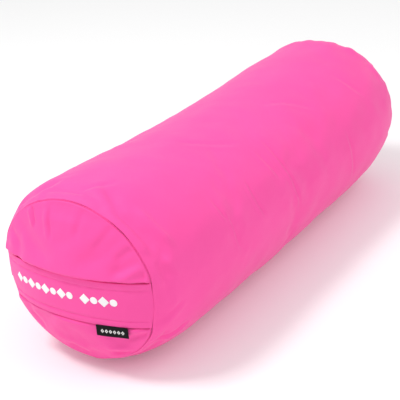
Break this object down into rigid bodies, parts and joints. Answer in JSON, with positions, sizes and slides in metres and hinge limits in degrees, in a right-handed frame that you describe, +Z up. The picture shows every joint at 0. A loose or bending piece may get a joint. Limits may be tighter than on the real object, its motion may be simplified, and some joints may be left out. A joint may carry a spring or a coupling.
{
  "type": "bolster pillow",
  "caption": "Firm round bolster for massage and yoga, with a zipped cotton cover over a filled liner and a flat carrying handle sewn across one end.",
  "frame": {"origin": "middle of the flattened underside", "axes": "+X across the bolster, +Y along it with the handle end towards -Y, +Z up"},
  "size_m": [0.2399, 0.648, 0.207],
  "materials": {
    "cover_cotton": "matte",
    "handle_cotton": "matte",
    "cover_thread": "satin",
    "zip_tape": "matte",
    "zip_plastic": "satin",
    "zip_metal": "satin",
    "print_white": "satin",
    "label_weave": "satin",
    "liner_cotton": "matte",
    "liner_thread": "matte",
    "filling": "matte"
  },
  "bodies": {
    "cover": {"body_panel": "cover_cotton", "front_end_panel": "cover_cotton", "rear_end_panel": "cover_cotton", "front_seam_allowance": "cover_cotton", "rear_seam_allowance": "cover_cotton", "front_seam_stitching": "cover_thread", "rear_seam_stitching": "cover_thread", "zip_tape_upper": "zip_tape", "zip_tape_lower": "zip_tape", "zip_teeth_upper": "zip_plastic", "zip_teeth_lower": "zip_plastic", "zip_top_stops": "zip_metal", "zip_bottom_stop": "zip_metal", "zip_stitching": "cover_thread", "liner_tube": "liner_cotton", "liner_front_disc": "liner_cotton", "liner_rear_disc": "liner_cotton", "liner_closing_stitches": "liner_thread", "filling_core": "filling"},
    "slider": {"zip_slider": "zip_metal"},
    "pull": {"zip_pull": "zip_metal"},
    "handle": {"handle_strap": "handle_cotton", "handle_stitching": "cover_thread", "handle_print": "print_white"},
    "label": {"woven_label": "label_weave"}
  },
  "joints": [
    {"name": "zip_slide", "type": "slide", "parent": "cover", "child": "slider", "axis": [0, 1, 0], "range_m": [0, 0.35], "deforming": ["zip_teeth_upper", "zip_teeth_lower"]},
    {"name": "zip_pull_hinge", "type": "hinge", "parent": "slider", "child": "pull", "pos_m": [-0.11954, -0.1935, 0.08598], "axis": [-0.1873, 0, 0.9823], "range_deg": [0, 170]},
    {"name": "handle_lift", "type": "slide", "parent": "cover", "child": "handle", "axis": [0, -1, 0], "range_m": [0, 0.015], "stiffness_N_per_m": 400},
    {"name": "label_flip", "type": "hinge", "parent": "handle", "child": "label", "pos_m": [0.051, -0.31578, 0.07055], "axis": [-0.9783, -0.207, 0], "range_deg": [0, 90]}
  ]
}
